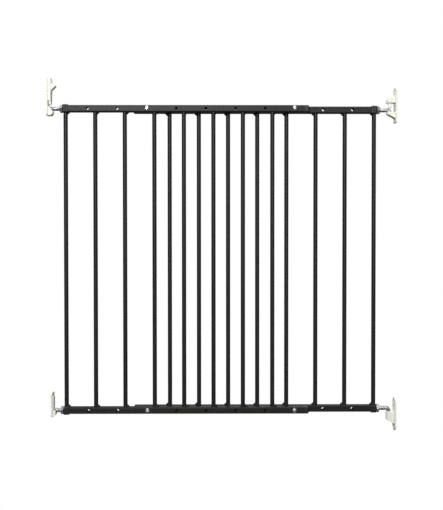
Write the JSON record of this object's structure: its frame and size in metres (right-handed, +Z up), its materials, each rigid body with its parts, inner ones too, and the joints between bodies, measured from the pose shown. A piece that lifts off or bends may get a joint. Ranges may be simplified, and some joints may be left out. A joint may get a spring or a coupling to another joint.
{
  "type": "safety baby gate",
  "caption": "Screw-mounted extending safety gate of black steel bars, hung on lift-off hinge rods with sprung latch.",
  "frame": {"origin": "on the hinge wall face of the lower hinge bracket, in the rear half's middle plane, at the height of the bottom rail's centre line", "axes": "+X into the hinge wall along the rails, +Y from the front half-frame to the rear one, +Z up the bars"},
  "size_m": [0.773, 0.041, 0.7813],
  "materials": {
    "black_powder_coat": "satin",
    "black_plastic": "matte",
    "ivory_nylon": "semi-matt",
    "white_nylon": "semi-matt",
    "zinc": "bright zinc plated",
    "spring_steel": "bright"
  },
  "bodies": {
    "hinge_fittings": {"upper_hinge_bracket": "ivory_nylon", "lower_hinge_bracket": "ivory_nylon", "upper_hinge_bush": "white_nylon", "lower_hinge_bush": "white_nylon"},
    "hinge_guide": {"upper_hinge_guide_pin": "white_nylon"},
    "hinge_rods": {"upper_hinge_rod": "zinc", "lower_hinge_rod": "zinc"},
    "rear_half": {"rear_top_rail": "black_powder_coat", "rear_bottom_rail": "black_powder_coat", "rear_bar_1": "black_powder_coat", "rear_bar_2": "black_powder_coat", "rear_bar_3": "black_powder_coat", "rear_bar_4": "black_powder_coat", "rear_bar_5": "black_powder_coat", "rear_bar_6": "black_powder_coat", "rear_bar_7": "black_powder_coat", "rear_bar_8": "black_powder_coat", "rear_welds": "black_powder_coat", "rear_top_end_cap": "black_plastic", "rear_bottom_end_cap": "black_plastic", "rear_top_end_plug": "black_plastic", "rear_bottom_end_plug": "black_plastic", "rear_top_insert": "zinc", "rear_bottom_insert": "zinc", "joining_barrel_nuts": "zinc"},
    "front_half": {"front_top_rail": "black_powder_coat", "front_bottom_rail": "black_powder_coat", "front_bar_1": "black_powder_coat", "front_bar_2": "black_powder_coat", "front_bar_3": "black_powder_coat", "front_bar_4": "black_powder_coat", "front_bar_5": "black_powder_coat", "front_bar_6": "black_powder_coat", "front_bar_7": "black_powder_coat", "front_bar_8": "black_powder_coat", "front_welds": "black_powder_coat", "front_top_end_cap": "black_plastic", "front_bottom_end_cap": "black_plastic", "front_top_end_plug": "black_plastic", "front_bottom_end_plug": "black_plastic", "front_top_insert": "zinc", "front_bottom_insert": "zinc", "joining_screws": "zinc", "joining_washers": "black_plastic"},
    "upper_hinge_nut": {"upper_hinge_nut": "zinc"},
    "lower_hinge_nut": {"lower_hinge_nut": "zinc"},
    "upper_latch_nut": {"upper_latch_nut": "zinc"},
    "lower_latch_nut": {"lower_latch_nut": "zinc"},
    "upper_latch_rod": {"upper_latch_rod": "zinc"},
    "lower_latch_rod": {"lower_latch_rod": "zinc"},
    "latch_fittings": {"upper_latch_bracket": "ivory_nylon", "lower_latch_bracket": "ivory_nylon", "catch_pivot_pin": "spring_steel", "catch_spring": "spring_steel"},
    "latch_catch": {"latch_catch": "ivory_nylon"}
  },
  "joints": [
    {"name": "gate_lift", "type": "slide", "parent": "hinge_fittings", "child": "hinge_guide", "axis": [0, 0, 1], "range_m": [0, 0.01]},
    {"name": "gate_swing", "type": "hinge", "parent": "hinge_guide", "child": "hinge_rods", "pos_m": [-0.0145, 0, 0], "axis": [0, 0, 1], "range_deg": [-90, 90]},
    {"name": "hinge_rod_adjust", "type": "slide", "parent": "hinge_rods", "child": "rear_half", "axis": [1, 0, 0], "range_m": [0, 0.006]},
    {"name": "gate_extension", "type": "slide", "parent": "rear_half", "child": "front_half", "axis": [-1, 0, 0], "range_m": [-0.13, 0.26]},
    {"name": "opening_width", "type": "slide", "parent": "hinge_fittings", "child": "latch_fittings", "axis": [-1, 0, 0], "range_m": [-0.13, 0.26]},
    {"name": "upper_latch_rod_adjust", "type": "slide", "parent": "front_half", "child": "upper_latch_rod", "axis": [1, 0, 0], "range_m": [0, 0.006]},
    {"name": "lower_latch_rod_adjust", "type": "slide", "parent": "front_half", "child": "lower_latch_rod", "axis": [1, 0, 0], "range_m": [0, 0.003]},
    {"name": "catch_press", "type": "hinge", "parent": "latch_fittings", "child": "latch_catch", "pos_m": [-0.7658, -0.017, 0.723], "axis": [0, 1, 0], "range_deg": [0, 6.5], "stiffness_Nm_per_rad": 0.6, "springref_deg": -5.73},
    {"name": "upper_hinge_nut_turn", "type": "hinge", "parent": "rear_half", "child": "upper_hinge_nut", "pos_m": [-0.04375, 0, 0.665], "axis": [1, 0, 0], "continuous": true},
    {"name": "lower_hinge_nut_turn", "type": "hinge", "parent": "rear_half", "child": "lower_hinge_nut", "pos_m": [-0.04375, 0, 0], "axis": [1, 0, 0], "continuous": true},
    {"name": "upper_latch_nut_turn", "type": "hinge", "parent": "front_half", "child": "upper_latch_nut", "pos_m": [-0.73775, -0.017, 0.665], "axis": [1, 0, 0], "continuous": true},
    {"name": "lower_latch_nut_turn", "type": "hinge", "parent": "front_half", "child": "lower_latch_nut", "pos_m": [-0.73775, -0.017, 0], "axis": [1, 0, 0], "continuous": true}
  ],
  "couplings": [
    {"joint": "opening_width", "follows": "gate_extension", "ratio": 1}
  ]
}
